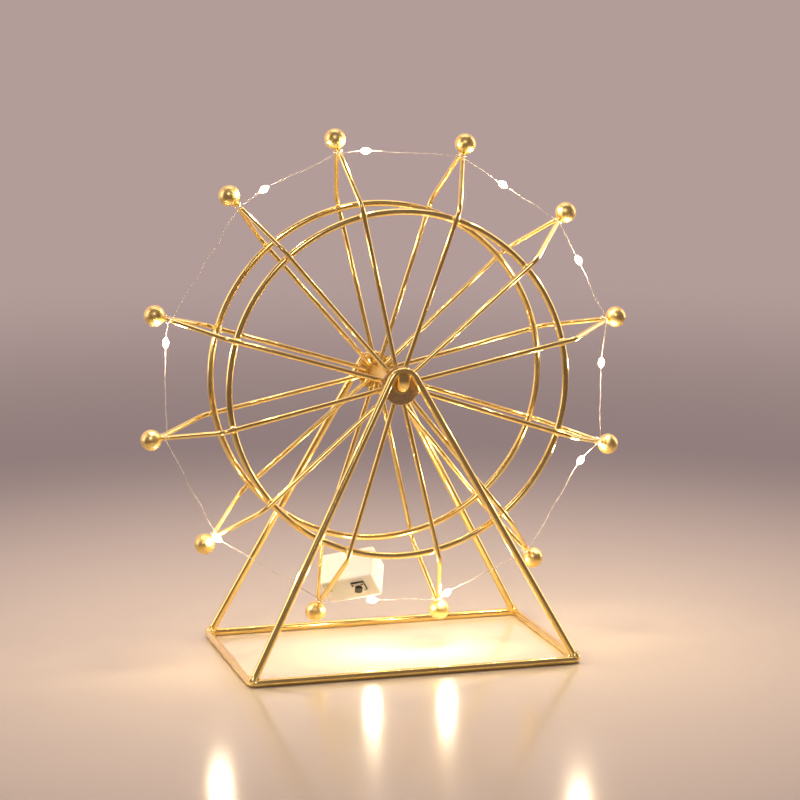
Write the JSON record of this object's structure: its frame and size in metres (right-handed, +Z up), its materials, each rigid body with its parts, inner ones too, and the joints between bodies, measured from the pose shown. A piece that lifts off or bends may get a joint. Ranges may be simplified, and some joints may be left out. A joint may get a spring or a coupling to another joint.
{
  "type": "ferris wheel ornament",
  "caption": "Gilt wire ferris wheel ornament on a double A-frame stand, with a fairy-light string and its small battery case in the wheel.",
  "frame": {"origin": "middle of the base's footprint, on the table", "axes": "+Z up; +Y from the wheel's front to its rear, along the axle; +X to the right as the front is looked at"},
  "size_m": [0.2286, 0.0992, 0.2412],
  "materials": {
    "gilt_wire": "satin",
    "gilt_ball": "satin",
    "copper_wire": "gloss",
    "led_chip": "satin",
    "led_resin": "gloss",
    "white_case": "satin",
    "board": "satin",
    "switch_black": "matte",
    "switch_steel": "satin",
    "cell_steel": "polished",
    "contact_metal": "satin"
  },
  "bodies": {
    "stand": {"base_loop": "gilt_wire", "a_frame_front": "gilt_wire", "a_frame_rear": "gilt_wire", "foot_welds": "gilt_wire", "axle": "gilt_wire"},
    "wheel": {"hub_tube": "gilt_wire", "hub_disc_front": "gilt_wire", "hub_disc_rear": "gilt_wire", "rim_front": "gilt_wire", "rim_rear": "gilt_wire", "spoke_front_1": "gilt_wire", "spoke_rear_1": "gilt_wire", "spoke_front_2": "gilt_wire", "spoke_rear_2": "gilt_wire", "spoke_front_3": "gilt_wire", "spoke_rear_3": "gilt_wire", "spoke_front_4": "gilt_wire", "spoke_rear_4": "gilt_wire", "spoke_front_5": "gilt_wire", "spoke_rear_5": "gilt_wire", "spoke_front_6": "gilt_wire", "spoke_rear_6": "gilt_wire", "spoke_front_7": "gilt_wire", "spoke_rear_7": "gilt_wire", "spoke_front_8": "gilt_wire", "spoke_rear_8": "gilt_wire", "spoke_front_9": "gilt_wire", "spoke_rear_9": "gilt_wire", "spoke_front_10": "gilt_wire", "spoke_rear_10": "gilt_wire", "spoke_front_11": "gilt_wire", "spoke_rear_11": "gilt_wire", "spoke_front_12": "gilt_wire", "spoke_rear_12": "gilt_wire", "ball_1": "gilt_ball", "ball_2": "gilt_ball", "ball_3": "gilt_ball", "ball_4": "gilt_ball", "ball_5": "gilt_ball", "ball_6": "gilt_ball", "ball_7": "gilt_ball", "ball_8": "gilt_ball", "ball_9": "gilt_ball", "ball_10": "gilt_ball", "ball_11": "gilt_ball", "ball_12": "gilt_ball", "battery_case": "white_case", "circuit_board": "board", "switch_body": "switch_black", "switch_cover": "switch_steel", "button_cell_1": "cell_steel", "button_cell_2": "cell_steel", "button_cell_3": "cell_steel", "contact_left": "contact_metal", "contact_right": "contact_metal", "led_wire": "copper_wire", "led_chips": "led_chip", "led_drops": "led_resin"},
    "battery_lid": {"battery_lid": "white_case"},
    "switch_button": {"switch_button": "switch_black"}
  },
  "joints": [
    {"name": "wheel_spin", "type": "hinge", "parent": "stand", "child": "wheel", "pos_m": [0, 0, 0.127], "axis": [0, 1, 0], "continuous": true},
    {"name": "lid_slide", "type": "slide", "parent": "wheel", "child": "battery_lid", "axis": [0.8428, -0.4888, 0.2252], "range_m": [0, 0.026]},
    {"name": "button_press", "type": "slide", "parent": "wheel", "child": "switch_button", "axis": [0.2604, 0.7365, 0.6243], "range_m": [0, 0.00025], "stiffness_N_per_m": 800}
  ]
}
